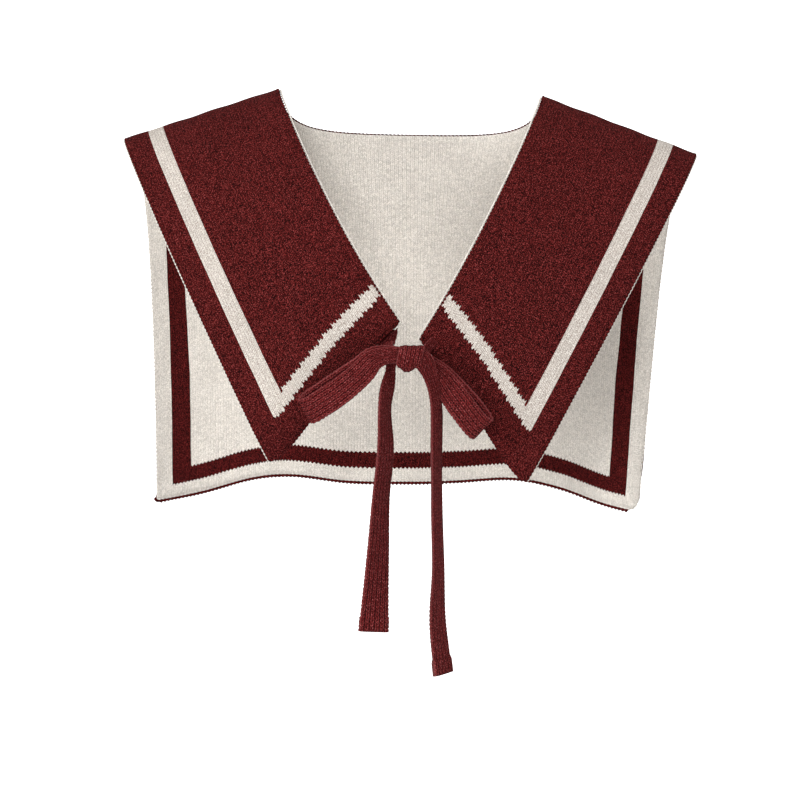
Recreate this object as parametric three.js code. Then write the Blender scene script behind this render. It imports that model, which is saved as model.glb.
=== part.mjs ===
// A knitted sailor collar in its worn form: a back cape and two front lapels knitted in one piece,
// with two knitted ties knotted in a bow under the chin. Lengths are in millimetres.
// X is across the shoulders, Y runs from the chest (minus) to the back (plus), Z is up.
// The origin lies midway between the two neck points, on the line of the shoulders.
import * as THREE from "three";

// Sizes of the knitted panel.
const wall = 2.6; // double-faced knit
const shoulderSpan = 394; // across the outer ends of the two shoulder folds
const neckSpan = 184; // between the two neck points
const shoulderDrop = 36; // a neck point down to the fold's outer end
const backNeckDrop = 27; // neck points down to the middle of the back neckline
const backNeckDepth = 46; // how far the back neckline lies behind the shoulders
const backLength = 281; // neck points down to the middle of the hem
const hemSpan = 346; // across the hem's two corners
const backDepth = 62; // how far the hem lies behind the shoulders
const lapelDrop = 255; // neck points down to the lapel tips
const tipSpan = 166; // between the two lapel tips
const tipBlunt = 5; // how far the lower edge hangs below a straight line beside the tip
const edgeArch = 2; // how far the lower edge rises above a straight line at its middle
const chestDepth = 92; // how far the lapel tips lie in front of the shoulders
const cornerDrop = 160; // neck points down to the lapels' inner corners
const cornerGap = 15; // between the two inner corners
const cornerSetBack = 4; // how far the inner corners lie behind the tips
const curlWidth = 26; // border of the lapel's lower edge that curls towards the chest

// Sizes of the ties and their bow.
const strapWidth = 18.5;
const strapThick = 2.4;
const clearance = 0.5; // between pieces that touch
const knotWidth = 16.5; // along X
const knotHeight = 17;
const knotSlant = 2.2; // how far the foot of the knot leans to the left of its top
const knotFall = 17.5; // inner corners down to the middle of the knot
const knotProud = 12; // the knot's middle in front of the inner corners
const leftLoopLength = 76;
const rightLoopLength = 66;
const loopDepth = 8.5; // between a loop's two layers, at its widest
const leftTailLength = 181; // the middle of the knot down to the tail's end
const rightTailLength = 209;
const tailHem = 11; // band at the tail's end where the strap is folded double
const seamLength = 13; // stretch of a tie that is sewn behind the lapel
const mouthPinch = 0.57; // width of a strap inside the knot, as a share of the room that it has there

// The knot wraps four layers: a tail, the two layers of a loop, and a lead.
const layerPitch = strapThick + clearance;
const knotThick = 2 * strapThick + 4 * layerPitch + clearance;
const gathered = mouthPinch * (knotHeight - 2 * layerPitch);

// How far each side of the worn collar differs from the even one: lengths as shares of the sizes
// above, droop in degrees below level, and layers counted from the front of the knot.
const sides = {
  left: {
    sign: -1,
    neckLift: 0.07,
    fold: 0.87,
    hang: 0.95,
    tipOut: 1.08,
    tipDrop: 0.967,
    cornerOut: 1.13,
    cornerDrop: 0.967,
    arch: 1.4,
    curl: 0.12,
    loopLength: leftLoopLength,
    droop: 26.6,
    tailLength: leftTailLength,
    loopLayers: [0, 1],
    tailLayer: 2,
  },
  right: {
    sign: 1,
    neckLift: -0.07,
    fold: 1.16,
    hang: 0.55,
    tipOut: 0.92,
    tipDrop: 1.019,
    cornerOut: 0.87,
    cornerDrop: 1.037,
    arch: 0.8,
    curl: 0.3,
    loopLength: rightLoopLength,
    droop: 44,
    tailLength: rightTailLength,
    loopLayers: [1, 2],
    tailLayer: 0,
  },
};
const leadLayer = 3;

// The hem from its left corner to its right one: across as a share of half its span, down as a share
// of the back's length, and back as a share of its depth. It hangs in two soft folds.
const hemTable = [
  { across: -1.05, down: 1.024, back: 0.62 },
  { across: -0.88, down: 1.014, back: 0.8 },
  { across: -0.67, down: 0.99, back: 0.98 },
  { across: -0.5, down: 0.976, back: 1.08 },
  { across: -0.26, down: 0.982, back: 1.0 },
  { across: 0, down: 0.992, back: 0.92 },
  { across: 0.2, down: 0.99, back: 0.98 },
  { across: 0.43, down: 0.982, back: 1.08 },
  { across: 0.63, down: 0.996, back: 1.0 },
  { across: 0.8, down: 1.026, back: 0.84 },
  { across: 0.95, down: 1.05, back: 0.62 },
];

// The bow's loops, seen along each from the knot outwards: out as a share of the loop's length, rise
// above its middle line, forward of the knot and width as shares of the strap's width, gap between its
// two layers as a share of the loop's depth, and lean of its top edge towards the chest in degrees.
const loopTable = {
  left: [
    { out: 0.18, rise: 0.5, forward: 0.15, wide: 0.6, gap: 0.32, lean: 3 },
    { out: 0.29, rise: 0.56, forward: 0.22, wide: 0.75, gap: 0.4, lean: 12 },
    { out: 0.42, rise: 0.38, forward: 0.28, wide: 0.9, gap: 0.6, lean: 22 },
    { out: 0.65, rise: 0.19, forward: 0.28, wide: 0.96, gap: 1, lean: 22 },
    { out: 0.86, rise: 0.07, forward: 0.26, wide: 0.95, gap: 0.9, lean: 14 },
    { out: 0.96, rise: 0.02, forward: 0.25, wide: 0.93, gap: 0.7, lean: 6 },
  ],
  right: [
    { out: 0.19, rise: 0.34, forward: 0, wide: 0.5, gap: 0.32, lean: 0 },
    { out: 0.35, rise: 0.33, forward: 0.02, wide: 0.72, gap: 0.36, lean: 0 },
    { out: 0.56, rise: 0.21, forward: 0.15, wide: 0.92, gap: 0.6, lean: 10 },
    { out: 0.76, rise: 0.12, forward: 0.3, wide: 0.97, gap: 0.9, lean: 18 },
    { out: 0.89, rise: 0.05, forward: 0.3, wide: 0.96, gap: 0.85, lean: 12 },
    { out: 0.96, rise: 0.02, forward: 0.3, wide: 0.94, gap: 0.65, lean: 5 },
  ],
};

// The tails below the knot: down as a share of the tail's length, out and forward from the middle of
// the knot and width as shares of the strap's width, and turn away from the front in degrees.
const tailTable = {
  left: [
    { down: 0.17, out: 0.88, forward: -0.02, wide: 0.9, turn: 62 },
    { down: 0.34, out: 0.86, forward: -0.05, wide: 1, turn: 56 },
    { down: 0.51, out: 1.02, forward: -0.05, wide: 1, turn: 54 },
    { down: 0.68, out: 1.11, forward: 0, wide: 1, turn: 44 },
    { down: 0.84, out: 1.2, forward: 0, wide: 1, turn: 30 },
    { down: 1, out: 1.29, forward: 0, wide: 1, turn: 8 },
  ],
  right: [
    { down: 0.15, out: 0.83, forward: 0.46, wide: 0.54, turn: -50 },
    { down: 0.32, out: 0.93, forward: 0.2, wide: 0.9, turn: -66 },
    { down: 0.49, out: 0.97, forward: 0.05, wide: 1, turn: -68 },
    { down: 0.66, out: 1.02, forward: 0, wide: 1, turn: -66 },
    { down: 0.83, out: 1.0, forward: 0, wide: 1, turn: -56 },
    { down: 1, out: 1.2, forward: 0.05, wide: 1, turn: -52 },
  ],
};

// The leads from the knot up to the lapels: out and up from the knot's middle as shares of its width
// and height, back as a share of the way to the lapel, and turn of the strap in degrees, from standing
// on its edge to lying flat behind the lapel.
const leadTable = {
  left: [
    { out: 0.76, up: 0.08, back: 0.3, turn: 25 },
    { out: 0.83, up: 0.3, back: 0.95, turn: 60 },
  ],
  right: [
    { out: 0.74, up: -0.05, back: 0.3, turn: 35 },
    { out: 0.76, up: -0.24, back: 0.75, turn: 75 },
    { out: 0.74, up: -0.1, back: 1.15, turn: 80 },
  ],
};
const seamTurn = 66;

// Handles of the curves from edge to edge, as shares of the way to the other end: how far the cloth
// runs level off a shoulder, how far it stands and leans behind the neck, and where it hangs free.
const backCurve = { level: 0.62, neckAcross: 0.3, neckBack: 0.06, neckDown: 0.2, hangEase: 0.3, low: 0.42 };
const lapelCurve = { level: 0.42, low: 0.56, back: 0.98, inward: 0.03 };

// Places of a strap at the knot: inside it and at its mouth as shares of the knot's width, and the turn
// down of a tail as shares of the strap's gathered width and the knot's height.
const mouth = { inside: 0.12, edge: 0.52 };
const tailTurn = { in: 0.1, first: 0.27, second: 0.62, bulge: 0.03 };
const loopTwist = 0.08; // how far a loop's front layer hangs below its back one, in strap widths

// Cells of the panel's net: across a lapel, across the neck, down the back and down the front.
const lapelCells = 10;
const neckCells = 18;
const backCells = 18;
const frontCells = 16;

const mix = (a, b, share) => a + (b - a) * share;
const vec = (x, y, z) => new THREE.Vector3(x, y, z);
const clamp = THREE.MathUtils.clamp;
const radians = THREE.MathUtils.degToRad;
const smooth = (share) => THREE.MathUtils.smoothstep(share, 0, 1);

// The table's row at a share of its length, eased between its rows by a Catmull-Rom curve.
function easedRow(table, share) {
  const place = clamp(share, 0, 1) * (table.length - 1);
  const from = Math.min(Math.floor(place), table.length - 2);
  const s = place - from;
  const row = {};
  for (const key of Object.keys(table[0])) {
    const at = (i) => table[clamp(i, 0, table.length - 1)][key];
    const [p, a, b, n] = [at(from - 1), at(from), at(from + 1), at(from + 2)];
    const slope = (b - p) * s;
    const bend = (2 * p - 5 * a + 4 * b - n) * s * s;
    const turn = (3 * a - p - 3 * b + n) * s ** 3;
    row[key] = a + (slope + bend + turn) / 2;
  }
  return row;
}

// Points of the shoulder fold and the lapel's corners.
const neckPoint = (side) => vec((side.sign * neckSpan) / 2, 0, side.neckLift * shoulderDrop);
const foldEnd = (side) => vec((side.sign * shoulderSpan) / 2, 0, -side.fold * shoulderDrop);
const lapelTip = (side) => vec((side.sign * side.tipOut * tipSpan) / 2, -chestDepth, -side.tipDrop * lapelDrop);
const innerCorner = (side) =>
  vec((side.sign * side.cornerOut * cornerGap) / 2, cornerSetBack - chestDepth, -side.cornerDrop * cornerDrop);

// The back neckline, a scoop from the left neck point to the right one.
function neckline(share) {
  const turn = Math.PI * share;
  const level = mix(neckPoint(sides.left).z, neckPoint(sides.right).z, share);
  const fall = 1 - (1 - Math.sin(turn)) ** 2;
  return vec((-Math.cos(turn) * neckSpan) / 2, backNeckDepth * Math.sin(turn), level - backNeckDrop * fall);
}

function hemPoint(share) {
  const row = easedRow(hemTable, share);
  return vec((row.across * hemSpan) / 2, row.back * backDepth, -row.down * backLength);
}

// A lapel's lower edge from its tip (share 0) to its inner corner (share 1). It sags beside the tip
// and arches at its middle. The sag's factor makes its peak one.
const sagPeak = 4.7;
function lowerEdge(side, share) {
  const point = lapelTip(side).lerp(innerCorner(side), share);
  const arch = Math.sin(Math.PI * share);
  const sag = sagPeak * arch * (1 - share) ** 4;
  point.z += side.arch * edgeArch * arch - tipBlunt * sag;
  point.y -= wall * arch;
  return point;
}

// One column of the back, up from the hem. Over a shoulder fold it ends level, and at the middle of
// the neck it ends upright. Hang says how soon it reaches the hem's place across.
function backColumn(top, hem, upright, hang) {
  const { level, neckAcross, neckBack, neckDown, hangEase, low } = backCurve;
  const out = hem.x - top.x;
  const flat = top.clone().add(vec(out * hang, level * hem.y, 0));
  const standing = top.clone().add(vec(out * neckAcross, neckBack * hem.y, -neckDown * backLength));
  const nearTop = flat.lerp(standing, upright);
  const nearHem = vec(mix(top.x, hem.x, mix(hang, 1, hangEase)), hem.y, mix(hem.z, top.z, low));
  return new THREE.CubicBezierCurve3(hem, nearHem, nearTop, top);
}

// A point of a lapel: across from its outer edge to its neck edge, down from the shoulder fold to the
// lower edge. The border of the lower edge curls towards the chest, but not at the inner corner.
function lapelPoint(side, across, down) {
  const top = foldEnd(side).lerp(neckPoint(side), across);
  const end = lowerEdge(side, across);
  const { level, low, back, inward } = lapelCurve;
  const lean = side.sign * inward * tipSpan * smooth(across);
  const nearTop = top.clone().add(vec(0, level * end.y, 0));
  const nearEnd = vec(mix(top.x, end.x, low) + lean, end.y * back, mix(top.z, end.z, low));
  const point = new THREE.CubicBezierCurve3(top, nearTop, nearEnd, end).getPoint(down);
  const toEdge = (1 - down) * top.distanceTo(end);
  const flat = smooth(3 * (1 - across));
  point.y += flat * side.curl * curlWidth * smooth(1 - toEdge / curlWidth) ** 2;
  return point;
}

// A point at a depth behind the middle of a lapel's wall.
function behindLapel(side, across, down, depth) {
  const step = 0.01;
  const point = lapelPoint(side, across, down);
  const along = lapelPoint(side, across, down - step).sub(point);
  const over = lapelPoint(side, across - step, down).sub(point);
  const normal = along.cross(over).normalize();
  normal.multiplyScalar(Math.sign(normal.y));
  return point.addScaledVector(normal, depth);
}

// The panel's net of points: columns run from the left edge to the right one, each from the hem up.
function panelNet() {
  const columns = [];
  const total = 2 * lapelCells + neckCells;
  for (let i = 0; i <= total; i++) {
    const onLeft = i <= lapelCells;
    const onRight = i >= lapelCells + neckCells;
    const neckShare = clamp((i - lapelCells) / neckCells, 0, 1);
    const hang = mix(sides.left.hang, sides.right.hang, neckShare);
    const hem = hemPoint(i / total);
    if (!onLeft && !onRight) {
      const upright = Math.sin(Math.PI * neckShare);
      columns.push(backColumn(neckline(neckShare), hem, upright, hang).getPoints(backCells));
      continue;
    }
    const side = onLeft ? sides.left : sides.right;
    const across = (onLeft ? i : total - i) / lapelCells;
    const points = backColumn(lapelPoint(side, across, 0), hem, 0, hang).getPoints(backCells);
    for (let row = 1; row <= frontCells; row++) points.push(lapelPoint(side, across, row / frontCells));
    columns.push(points);
  }
  return columns;
}

function indexedGeometry(points, triangles) {
  const geometry = new THREE.BufferGeometry().setFromPoints(points);
  geometry.setIndex(triangles);
  geometry.computeVertexNormals();
  return geometry;
}

// A closed wall round a net of points. Each face of the net becomes an outer and an inner face, and
// each edge that only one face has becomes a rim.
function wallSolid(columns, thickness) {
  const starts = [];
  const points = [];
  for (const column of columns) {
    starts.push(points.length);
    points.push(...column);
  }
  const faces = [];
  for (let c = 0; c + 1 < columns.length; c++) {
    const rows = Math.min(columns[c].length, columns[c + 1].length);
    for (let r = 0; r + 1 < rows; r++) {
      const [here, next] = [starts[c] + r, starts[c + 1] + r];
      faces.push([here, here + 1, next + 1, next]);
    }
  }
  const normals = points.map(() => vec(0, 0, 0));
  for (const face of faces) {
    const [a, b, c, d] = face.map((corner) => points[corner]);
    const normal = c.clone().sub(a).cross(d.clone().sub(b));
    for (const corner of face) normals[corner].add(normal);
  }
  const half = thickness / 2;
  const outer = points.map((point, i) => point.clone().addScaledVector(normals[i].normalize(), half));
  const inner = points.map((point, i) => point.clone().addScaledVector(normals[i], -half));
  const count = points.length;
  const triangles = [];
  const quad = (a, b, c, d) => triangles.push(a, b, c, a, c, d);
  const rims = new Map();
  for (const face of faces) {
    const [a, b, c, d] = face;
    quad(a, b, c, d);
    quad(d + count, c + count, b + count, a + count);
    face.forEach((from, k) => {
      const to = face[(k + 1) % face.length];
      if (!rims.delete(to + "," + from)) rims.set(from + "," + to, [from, to]);
    });
  }
  for (const [from, to] of rims.values()) quad(to, from, from + count, to + count);
  return indexedGeometry([...outer, ...inner], triangles);
}

// A strap's section: a flat bar with its corners taken off, as shares of half its width and thickness.
const strapSection = [
  { wide: 1, thick: 0.4 },
  { wide: 0.85, thick: 1 },
  { wide: -0.85, thick: 1 },
  { wide: -1, thick: 0.4 },
  { wide: -1, thick: -0.4 },
  { wide: -0.85, thick: -1 },
  { wide: 0.85, thick: -1 },
  { wide: 1, thick: -0.4 },
];

// A solid strap through stations, each with its middle, the direction across it, the direction out of
// its face, its width and its thickness. A closed strap joins its last station to its first.
function strapSolid(stations, closed = false) {
  const points = [];
  for (const { middle, across, out, width, thick } of stations) {
    for (const corner of strapSection) {
      const point = middle.clone().addScaledVector(across, (corner.wide * width) / 2);
      points.push(point.addScaledVector(out, (corner.thick * thick) / 2));
    }
  }
  const n = strapSection.length;
  const triangles = [];
  const spans = closed ? stations.length : stations.length - 1;
  for (let i = 0; i < spans; i++) {
    const [from, to] = [i * n, ((i + 1) % stations.length) * n];
    for (let k = 0; k < n; k++) {
      const next = (k + 1) % n;
      triangles.push(from + k, from + next, to + next, from + k, to + next, to + k);
    }
  }
  if (!closed) {
    const last = (stations.length - 1) * n;
    for (let k = 1; k + 1 < n; k++) triangles.push(0, k + 1, k, last, last + k, last + k + 1);
  }
  return indexedGeometry(points, triangles);
}

// Stations along a smooth curve through rows, each with a point, a width and a thickness.
// The function acrossAt gives the direction across the strap from the way it runs and its row.
function stationsAlong(rows, steps, acrossAt) {
  const curve = new THREE.CatmullRomCurve3(
    rows.map((row) => row.point),
    false,
    "centripetal",
  );
  const table = rows.map(({ width, thick, turn }) => ({ width, thick, turn }));
  const stations = [];
  for (let i = 0; i <= steps; i++) {
    const row = easedRow(table, i / steps);
    const along = curve.getTangent(i / steps);
    const across = acrossAt(along, row);
    across.addScaledVector(along, -across.dot(along)).normalize();
    const out = along.clone().cross(across).normalize();
    stations.push({ middle: curve.getPoint(i / steps), across, out, width: row.width, thick: row.thick });
  }
  return stations;
}

// The knot's middle hangs below and in front of the midpoint of the two inner corners.
const corners = innerCorner(sides.left).add(innerCorner(sides.right)).multiplyScalar(0.5);
const knotMiddle = corners.clone().add(vec(0, -knotProud, -knotFall));
const bowPoint = (side, out, up, forward) => knotMiddle.clone().add(vec(side.sign * out, -forward, up));
const layerForward = (layer) => (1.5 - layer) * layerPitch;

// The knot: a strap wound once round the four layers, in an oblong with round corners.
function knotSolid() {
  const turns = 28;
  const power = 3.2;
  const stations = [];
  for (let i = 0; i < turns; i++) {
    const turn = (2 * Math.PI * i) / turns;
    const [deep, high] = [-Math.cos(turn), Math.sin(turn)];
    const reach = (Math.abs(deep) ** power + Math.abs(high) ** power) ** (-1 / power);
    const halfDeep = (knotThick - strapThick) / 2;
    const halfHigh = (knotHeight - strapThick) / 2;
    const offset = vec(0, deep * reach * halfDeep, high * reach * halfHigh);
    const out = vec(
      0,
      (Math.sign(deep) * Math.abs(deep) ** (power - 1)) / halfDeep,
      (Math.sign(high) * Math.abs(high) ** (power - 1)) / halfHigh,
    ).normalize();
    offset.x = (knotSlant * offset.z) / knotHeight;
    const middle = knotMiddle.clone().add(offset);
    stations.push({ middle, across: vec(-1, 0, 0), out, width: knotWidth, thick: strapThick });
  }
  return strapSolid(stations, true);
}

// Rows for the stretch of a strap inside the knot and through its mouth.
function mouthRows(side, layer) {
  const forward = layerForward(layer);
  const size = { width: gathered, thick: strapThick, turn: 0 };
  return [
    { point: bowPoint(side, mouth.inside * knotWidth, 0, forward), ...size },
    { point: bowPoint(side, mouth.edge * knotWidth, 0, forward), ...size },
  ];
}

// A loop runs out along its back layer, turns at its end and comes back along its front layer.
function loopSolid(side, table) {
  const droop = radians(side.droop);
  const outward = vec(side.sign * Math.cos(droop), 0, -Math.sin(droop));
  const rise = vec(side.sign * Math.sin(droop), 0, Math.cos(droop));
  const layer = (row, front) => {
    const forward = row.forward * strapWidth + (front * row.gap * loopDepth) / 2;
    const point = knotMiddle.clone().addScaledVector(outward, row.out * side.loopLength);
    point.addScaledVector(rise, (row.rise - front * row.gap * loopTwist) * strapWidth);
    point.y -= forward;
    return { point, width: row.wide * strapWidth, thick: strapThick, turn: row.lean };
  };
  const end = layer({ ...table[table.length - 1], out: 1, rise: 0 }, 0);
  const rows = [
    ...mouthRows(side, side.loopLayers[1]),
    ...table.map((row) => layer(row, -1)),
    end,
    ...table.map((row) => layer(row, 1)).reverse(),
    ...mouthRows(side, side.loopLayers[0]).reverse(),
  ];
  const lean = (row) => vec(0, Math.sin(radians(row.turn)), 0).addScaledVector(rise, Math.cos(radians(row.turn)));
  return strapSolid(stationsAlong(rows, 48, (along, row) => lean(row)));
}

// The direction across a strap that runs in the plane of the chest, turned about the strap.
function facingChest(side) {
  return (along, row) => {
    const inPlane = vec(-along.z, 0, along.x).multiplyScalar(side.sign);
    return inPlane.applyAxisAngle(along, radians(row.turn));
  };
}

// A tail leaves the knot's mouth, turns down beside the knot and hangs. Its end is folded double.
function tailSolid(side, table) {
  const forward = layerForward(side.tailLayer);
  const beside = (knotWidth + knotSlant + gathered) / 2 + clearance;
  const bulge = tailTurn.bulge * strapWidth * (side.tailLayer === 0 ? 1 : -1);
  const size = { width: gathered, thick: strapThick };
  const [first, second] = [tailTurn.first * knotHeight, tailTurn.second * knotHeight];
  const rows = [
    ...mouthRows(side, side.tailLayer),
    { point: bowPoint(side, beside - tailTurn.in * gathered, -first, forward + bulge), ...size, turn: 0 },
    { point: bowPoint(side, beside, -second, forward + bulge), ...size, turn: table[0].turn / 3 },
  ];
  for (const row of table) {
    const point = bowPoint(side, row.out * strapWidth, -row.down * side.tailLength, row.forward * strapWidth);
    rows.push({ point, width: row.wide * strapWidth, thick: strapThick, turn: row.turn });
  }
  const stations = stationsAlong(rows, 45, facingChest(side));
  const foot = stations[stations.length - 1].middle;
  for (const station of stations) {
    if (station.middle.distanceTo(foot) < tailHem) station.thick = 2 * strapThick;
  }
  return strapSolid(stations);
}

// A lead leaves the back layer of the knot's mouth, passes under the lapel's lower edge and runs up
// behind the lapel, where it is sewn.
function leadSolid(side, table) {
  const across = 1 - (0.5 * gathered + wall) / innerCorner(side).distanceTo(lapelTip(side));
  const depth = (wall + strapThick) / 2 + 2 * clearance;
  const length = lapelPoint(side, across, 0).distanceTo(lapelPoint(side, across, 1));
  const size = { width: gathered, thick: strapThick };
  const start = -layerForward(leadLayer);
  const rows = mouthRows(side, leadLayer);
  for (const row of table) {
    const back = mix(start, knotProud + depth, row.back);
    rows.push({ point: bowPoint(side, row.out * knotWidth, row.up * knotHeight, -back), ...size, turn: row.turn });
  }
  for (const sewn of [0, seamLength]) {
    rows.push({ point: behindLapel(side, across, 1 - sewn / length, depth), ...size, turn: seamTurn });
  }
  const turned = (along, row) => vec(-side.sign * Math.sin(radians(row.turn)), 0, Math.cos(radians(row.turn)));
  return strapSolid(stationsAlong(rows, 5 * (rows.length - 1), turned));
}

const group = new THREE.Group();

function addPiece(name, geometry, color, roughness) {
  const mesh = new THREE.Mesh(geometry, new THREE.MeshStandardMaterial({ color, roughness, metalness: 0 }));
  mesh.name = name;
  group.add(mesh);
}

addPiece("collar_panel", wallSolid(panelNet(), wall), 0x5e1a1c, 0.95);
addPiece("bow_knot", knotSolid(), 0x661d20, 0.95);
for (const [name, side] of Object.entries(sides)) {
  addPiece("bow_loop_" + name, loopSolid(side, loopTable[name]), 0x6e2224, 0.95);
  addPiece("bow_tail_" + name, tailSolid(side, tailTable[name]), 0x5a181a, 0.95);
  addPiece("tie_lead_" + name, leadSolid(side, leadTable[name]), 0x5a181a, 0.95);
}

export default group;
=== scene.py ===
from math import cos, pi, radians, sin

import bpy
import numpy as np
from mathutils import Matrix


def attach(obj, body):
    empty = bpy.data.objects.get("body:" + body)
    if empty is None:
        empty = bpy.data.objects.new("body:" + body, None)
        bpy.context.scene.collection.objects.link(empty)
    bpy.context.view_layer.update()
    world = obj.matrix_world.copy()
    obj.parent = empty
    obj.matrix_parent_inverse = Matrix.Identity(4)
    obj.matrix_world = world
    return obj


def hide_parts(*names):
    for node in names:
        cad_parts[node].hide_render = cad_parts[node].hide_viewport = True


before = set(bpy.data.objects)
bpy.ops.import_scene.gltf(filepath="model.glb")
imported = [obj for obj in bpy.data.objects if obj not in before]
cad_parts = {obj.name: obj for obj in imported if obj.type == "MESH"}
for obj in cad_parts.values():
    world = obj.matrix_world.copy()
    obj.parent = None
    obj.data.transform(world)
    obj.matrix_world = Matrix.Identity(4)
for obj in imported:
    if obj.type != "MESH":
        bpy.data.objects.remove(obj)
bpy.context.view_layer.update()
scene = bpy.context.scene

# The camera stands in front of the chest, 1.6 m from the collar, and looks slightly down on it.
# Its narrow view keeps the shoulders and the hem in the same scale.
camera_tilt = 4
camera_lens = bpy.data.cameras.new("camera")
camera_lens.sensor_width = 36
camera_lens.lens = 102.86
camera = bpy.data.objects.new("camera", camera_lens)
camera.location = (-0.0073, -1.5961, -0.1008)
camera.rotation_euler = (radians(90 - camera_tilt), 0, 0)
scene.collection.objects.link(camera)
scene.camera = camera

# The panel is the cape and both lapels, knitted in one piece with two yarns: burgundy outside with a
# cream stripe near its border, and the same stripe in burgundy on the cream inside. It lies over the
# shoulders, and its lapels meet in a V above the bow.
wall = 0.0026
shoulder_span = 0.394
neck_span = 0.184
shoulder_drop = 0.036
neck_drop = 0.027
neck_depth = 0.046
back_length = 0.281
hem_span = 0.346
back_depth = 0.062
lapel_drop = 0.255
tip_span = 0.166
tip_blunt = 0.005
tip_sag = 4.7
edge_arch = 0.002
chest_depth = 0.092
corner_drop = 0.160
corner_gap = 0.015
corner_depth = 0.088
curl_width = 0.026

# What differs from side to side, nearly all as shares of the sizes above. Fold is the drop of the
# shoulder fold, hang how soon the cape finds its width below the fold, roll the length of knit that the
# curled lower border takes up, and lean how far out the lapel's neck edge bends on its way down.
left = dict(sign=-1, neck_lift=0.07, fold=0.87, hang=0.95, tip_out=1.13, tip_drop=0.967,
            corner_out=1.13, corner_drop=0.967, arch=1.4, curl=0.25, roll=0.0045, lean=0.075)
right = dict(sign=1, neck_lift=-0.07, fold=1.16, hang=0.55, tip_out=0.92, tip_drop=1.019,
             corner_out=0.87, corner_drop=1.037, arch=0.8, curl=0.15, roll=0, lean=0.055)

# The hem from left to right: across in half spans, down in back lengths, back in back depths.
hem_table = [
    (-1.05, 1.019, 0.62), (-0.88, 1.002, 0.8), (-0.67, 0.97, 0.98), (-0.5, 0.963, 1.08),
    (-0.26, 0.978, 1.0), (0, 0.979, 0.92), (0.2, 0.977, 0.98), (0.43, 0.972, 1.08),
    (0.63, 0.994, 1.0), (0.8, 1.03, 0.84), (0.95, 1.05, 0.62),
]

# Where the handles of the panel's curves lie: shares of the way forward or back, down, up or out.
lapel_handles = dict(forward=0.42, down=0.56, chest=0.98)
fold_handle = 0.62
nape_handle = dict(out=0.3, back=0.06, down=0.2)
hem_handle = dict(out=0.3, up=0.42)
round_corner = dict(share=0.03, rise=0.035)

# The panel as it was knitted, flat: its width, the wales of one lapel, and the lengths from the
# shoulder fold to the hem and to both ends of a lapel's lower edge.
flat_width = 0.410
flat_lapel = 0.108
flat_back = 0.290
flat_outer = 0.262
flat_inner = 0.204
wale = flat_width / 204
course = 0.0014

lapel_cells = 50
neck_cells = 90
back_rows = 100
front_rows = 84


def mix(a, b, share):
    """The straight way from a to b: a plus a share of the difference."""
    return a + (b - a) * share


def smooth(share):
    """Three times the square less twice the cube of a share, which is held between 0 and 1."""
    share = np.clip(share, 0, 1)
    return share * share * (3 - 2 * share)


def points_of(x, y, z):
    """Three coordinates, spread to one shape, as an array of points."""
    return np.stack(np.broadcast_arrays(x, y, z), axis=-1).astype(float)


def eased(rows, share):
    """A table's rows on a uniform Catmull-Rom curve, read at shares of its length."""
    rows = np.asarray(rows, float)
    place = np.clip(share, 0, 1) * (len(rows) - 1)
    start = np.minimum(place.astype(int), len(rows) - 2)
    s = (place - start)[..., None]
    before, a, b, after = (rows[np.clip(start + k, 0, len(rows) - 1)] for k in (-1, 0, 1, 2))
    slope = (b - before) * s
    bend = (2 * before - 5 * a + 4 * b - after) * s**2
    turn = (3 * a - before - 3 * b + after) * s**3
    return a + (slope + bend + turn) / 2


def bezier(start, near_start, near_end, end, share):
    """A cubic Bezier curve: its four points weighed by the cubes and squares of the two shares."""
    rest = 1 - share
    middle = 3 * rest * share * (rest * near_start + share * near_end)
    return rest**3 * start + middle + share**3 * end


def neck_point(side):
    return points_of(side["sign"] * neck_span / 2, 0, side["neck_lift"] * shoulder_drop)


def fold_end(side):
    return points_of(side["sign"] * shoulder_span / 2, 0, -side["fold"] * shoulder_drop)


def lapel_tip(side):
    x = side["sign"] * side["tip_out"] * tip_span / 2
    return points_of(x, -chest_depth, -side["tip_drop"] * lapel_drop)


def inner_corner(side):
    x = side["sign"] * side["corner_out"] * corner_gap / 2
    return points_of(x, -corner_depth, -side["corner_drop"] * corner_drop)


def lower_edge(side, share):
    """A line from the tip to the inner corner that sags beside the tip and arches by a half sine."""
    share = np.asarray(share, float)
    edge = mix(lapel_tip(side), inner_corner(side), share[..., None])
    arch = np.sin(pi * share)
    sag = tip_sag * arch * (1 - share) ** 4
    lift = side["arch"] * edge_arch * arch - tip_blunt * sag
    return edge + points_of(0, -wall * arch, lift)


def lapel(side, across, down):
    """A Bezier curve from the shoulder fold to the lower edge, with a border that curls inwards by the
    square of its nearness to that edge. Across runs from the outer edge to the neck edge."""
    across, down = np.broadcast_arrays(np.asarray(across, float), np.asarray(down, float))
    top = mix(fold_end(side), neck_point(side), across[..., None])
    end = lower_edge(side, across)
    lean = side["sign"] * side["lean"] * tip_span * smooth(across)
    near_top = top + points_of(0, lapel_handles["forward"] * end[..., 1], 0)
    near_end = mix(top, end, lapel_handles["down"])
    near_end = points_of(near_end[..., 0] + lean, lapel_handles["chest"] * end[..., 1], near_end[..., 2])
    surface = bezier(top, near_top, near_end, end, down[..., None])
    to_edge = (1 - down) * np.linalg.norm(top - end, axis=-1)
    curl = side["curl"] * curl_width * np.clip(1 - to_edge / curl_width, 0, 1) ** 2
    return surface + points_of(0, smooth(3 * (1 - across)) * curl, 0)


def neckline(share):
    """A scoop: a half turn across, a half sine back, and down by one less the square of its lack."""
    half_turn = pi * share
    level = mix(left["neck_lift"], right["neck_lift"], share) * shoulder_drop
    fall = 1 - (1 - np.sin(half_turn)) ** 2
    x = -np.cos(half_turn) * neck_span / 2
    return points_of(x, neck_depth * np.sin(half_turn), level - neck_drop * fall)


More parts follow.
